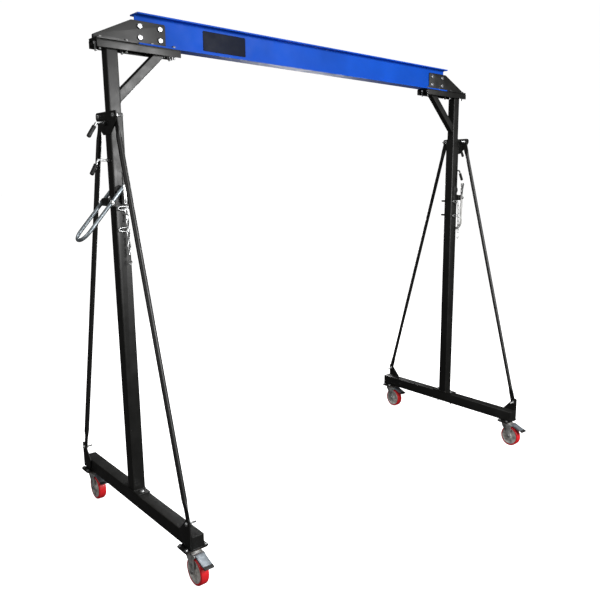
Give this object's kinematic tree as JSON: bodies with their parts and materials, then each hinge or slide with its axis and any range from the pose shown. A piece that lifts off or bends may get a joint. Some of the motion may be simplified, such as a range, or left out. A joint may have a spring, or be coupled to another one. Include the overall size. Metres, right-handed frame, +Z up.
{
  "type": "portable gantry crane",
  "caption": "Height-adjustable gantry crane: an I-beam on two braced telescopic masts with lever jacks, locking pins and braked casters.",
  "frame": {"origin": "middle of the footprint on the floor under the casters", "axes": "+X along the beam, +Y across the side frames away from the side that carries levers and pins, +Z up"},
  "size_m": [3.0428, 1.459, 2.791],
  "materials": {
    "black_coat": "semi-gloss black powder coat",
    "blue_coat": "semi-gloss royal blue powder coat",
    "zinc": "bright zinc plate",
    "lever_steel": "blue-grey zinc plate",
    "red_tread": "satin polyurethane",
    "badge_navy": "satin",
    "grip_black": "soft matte"
  },
  "bodies": {
    "left_frame": {"left_base_tube": "black_coat", "left_lower_mast": "black_coat", "left_mast_collar": "black_coat", "left_lever_bracket": "black_coat", "left_near_base_ear": "black_coat", "left_near_tie": "black_coat", "left_near_caster_mount": "black_coat", "left_far_base_ear": "black_coat", "left_far_tie": "black_coat", "left_far_caster_mount": "black_coat"},
    "upper_frame": {"beam": "blue_coat", "badge": "badge_navy", "left_upper_mast": "black_coat", "left_head_channel": "black_coat", "left_knee_brace": "black_coat", "left_near_beam_plate": "black_coat", "left_far_beam_plate": "black_coat", "right_upper_mast": "black_coat", "right_head_channel": "black_coat", "right_knee_brace": "black_coat", "right_near_beam_plate": "black_coat", "right_far_beam_plate": "black_coat"},
    "right_frame": {"right_base_tube": "black_coat", "right_lower_mast": "black_coat", "right_mast_collar": "black_coat", "right_lever_bracket": "black_coat", "right_near_base_ear": "black_coat", "right_near_tie": "black_coat", "right_near_caster_mount": "black_coat", "right_far_base_ear": "black_coat", "right_far_tie": "black_coat", "right_far_caster_mount": "black_coat"},
    "left_near_caster": {"left_near_caster_fork": "zinc"},
    "left_near_caster_wheel": {"left_near_caster_wheel": "red_tread"},
    "left_near_brake": {"left_near_brake_pedal": "zinc"},
    "left_far_caster": {"left_far_caster_fork": "zinc"},
    "left_far_caster_wheel": {"left_far_caster_wheel": "red_tread"},
    "left_far_brake": {"left_far_brake_pedal": "zinc"},
    "left_lever": {"left_jack_lever": "lever_steel"},
    "left_link": {"left_lift_link": "zinc"},
    "left_lift_pin": {"left_lift_pin": "zinc", "left_pin_chain": "zinc"},
    "left_lock_pin": {"left_lock_pin": "zinc"},
    "left_upper_clamp": {"left_clamp_screw_upper": "grip_black"},
    "left_lower_clamp": {"left_clamp_screw_lower": "grip_black"},
    "right_near_caster": {"right_near_caster_fork": "zinc"},
    "right_near_caster_wheel": {"right_near_caster_wheel": "red_tread"},
    "right_near_brake": {"right_near_brake_pedal": "zinc"},
    "right_far_caster": {"right_far_caster_fork": "zinc"},
    "right_far_caster_wheel": {"right_far_caster_wheel": "red_tread"},
    "right_far_brake": {"right_far_brake_pedal": "zinc"},
    "right_lever": {"right_jack_lever": "lever_steel"},
    "right_link": {"right_lift_link": "zinc"},
    "right_lift_pin": {"right_lift_pin": "zinc", "right_pin_chain": "zinc"},
    "right_lock_pin": {"right_lock_pin": "zinc"},
    "right_upper_clamp": {"right_clamp_screw_upper": "grip_black"},
    "right_lower_clamp": {"right_clamp_screw_lower": "grip_black"}
  },
  "joints": [
    {"name": "mast_lift", "type": "slide", "parent": "left_frame", "child": "upper_frame", "axis": [0, 0, 1], "range_m": [0, 0.756]},
    {"name": "right_mast_lift", "type": "slide", "parent": "upper_frame", "child": "right_frame", "axis": [0, 0, 1], "range_m": [-0.756, 0]},
    {"name": "left_near_caster_swivel", "type": "hinge", "parent": "left_frame", "child": "left_near_caster", "pos_m": [-1.29486, -0.5685, 0.17], "axis": [0, 0, 1], "continuous": true},
    {"name": "left_near_caster_roll", "type": "hinge", "parent": "left_near_caster", "child": "left_near_caster_wheel", "pos_m": [-1.29486, -0.6105, 0.075], "axis": [1, 0, 0], "continuous": true},
    {"name": "left_near_brake_press", "type": "hinge", "parent": "left_near_caster", "child": "left_near_brake", "pos_m": [-1.29486, -0.6285, 0.163], "axis": [1, 0, 0], "range_deg": [0, 12]},
    {"name": "left_far_caster_swivel", "type": "hinge", "parent": "left_frame", "child": "left_far_caster", "pos_m": [-1.29486, 0.6755, 0.17], "axis": [0, 0, 1], "continuous": true},
    {"name": "left_far_caster_roll", "type": "hinge", "parent": "left_far_caster", "child": "left_far_caster_wheel", "pos_m": [-1.29486, 0.6335, 0.075], "axis": [1, 0, 0], "continuous": true},
    {"name": "left_far_brake_press", "type": "hinge", "parent": "left_far_caster", "child": "left_far_brake", "pos_m": [-1.29486, 0.6155, 0.163], "axis": [1, 0, 0], "range_deg": [0, 12]},
    {"name": "left_lever_swing", "type": "hinge", "parent": "left_frame", "child": "left_lever", "pos_m": [-1.35686, 0.0535, 1.856], "axis": [0, 1, 0], "range_deg": [-40, 10]},
    {"name": "left_link_swing", "type": "hinge", "parent": "left_lever", "child": "left_link", "pos_m": [-1.29001, -0.0165, 1.93567], "axis": [0, 1, 0], "range_deg": [-10, 40]},
    {"name": "left_lift_pin_pull", "type": "slide", "parent": "left_frame", "child": "left_lift_pin", "axis": [0, -1, 0], "range_m": [0, 0.1]},
    {"name": "left_lock_pin_pull", "type": "slide", "parent": "left_frame", "child": "left_lock_pin", "axis": [0, -1, 0], "range_m": [0, 0.1]},
    {"name": "left_upper_clamp_turn", "type": "hinge", "parent": "left_frame", "child": "left_upper_clamp", "pos_m": [-1.35886, 0.0535, 2.246], "axis": [1, 0, 0], "continuous": true},
    {"name": "left_lower_clamp_turn", "type": "hinge", "parent": "left_frame", "child": "left_lower_clamp", "pos_m": [-1.35886, 0.0535, 2.065], "axis": [1, 0, 0], "continuous": true},
    {"name": "right_near_caster_swivel", "type": "hinge", "parent": "right_frame", "child": "right_near_caster", "pos_m": [1.37714, -0.5685, 0.17], "axis": [0, 0, 1], "continuous": true},
    {"name": "right_near_caster_roll", "type": "hinge", "parent": "right_near_caster", "child": "right_near_caster_wheel", "pos_m": [1.37714, -0.6105, 0.075], "axis": [1, 0, 0], "continuous": true},
    {"name": "right_near_brake_press", "type": "hinge", "parent": "right_near_caster", "child": "right_near_brake", "pos_m": [1.37714, -0.6285, 0.163], "axis": [1, 0, 0], "range_deg": [0, 12]},
    {"name": "right_far_caster_swivel", "type": "hinge", "parent": "right_frame", "child": "right_far_caster", "pos_m": [1.37714, 0.6755, 0.17], "axis": [0, 0, 1], "continuous": true},
    {"name": "right_far_caster_roll", "type": "hinge", "parent": "right_far_caster", "child": "right_far_caster_wheel", "pos_m": [1.37714, 0.6335, 0.075], "axis": [1, 0, 0], "continuous": true},
    {"name": "right_far_brake_press", "type": "hinge", "parent": "right_far_caster", "child": "right_far_brake", "pos_m": [1.37714, 0.6155, 0.163], "axis": [1, 0, 0], "range_deg": [0, 12]},
    {"name": "right_lever_swing", "type": "hinge", "parent": "right_frame", "child": "right_lever", "pos_m": [1.43914, 0.0535, 1.856], "axis": [0, -1, 0], "range_deg": [0, 50]},
    {"name": "right_link_swing", "type": "hinge", "parent": "right_lever", "child": "right_link", "pos_m": [1.43914, -0.0165, 1.96], "axis": [0, -1, 0], "range_deg": [-50, 0]},
    {"name": "right_lift_pin_pull", "type": "slide", "parent": "right_frame", "child": "right_lift_pin", "axis": [0, -1, 0], "range_m": [0, 0.1]},
    {"name": "right_lock_pin_pull", "type": "slide", "parent": "right_frame", "child": "right_lock_pin", "axis": [0, -1, 0], "range_m": [0, 0.1]},
    {"name": "right_upper_clamp_turn", "type": "hinge", "parent": "right_frame", "child": "right_upper_clamp", "pos_m": [1.44114, 0.0535, 2.246], "axis": [1, 0, 0], "continuous": true},
    {"name": "right_lower_clamp_turn", "type": "hinge", "parent": "right_frame", "child": "right_lower_clamp", "pos_m": [1.44114, 0.0535, 2.065], "axis": [1, 0, 0], "continuous": true}
  ],
  "couplings": [
    {"joint": "right_mast_lift", "follows": "mast_lift", "ratio": -1},
    {"joint": "left_link_swing", "follows": "left_lever_swing", "ratio": -1},
    {"joint": "right_link_swing", "follows": "right_lever_swing", "ratio": -1}
  ]
}
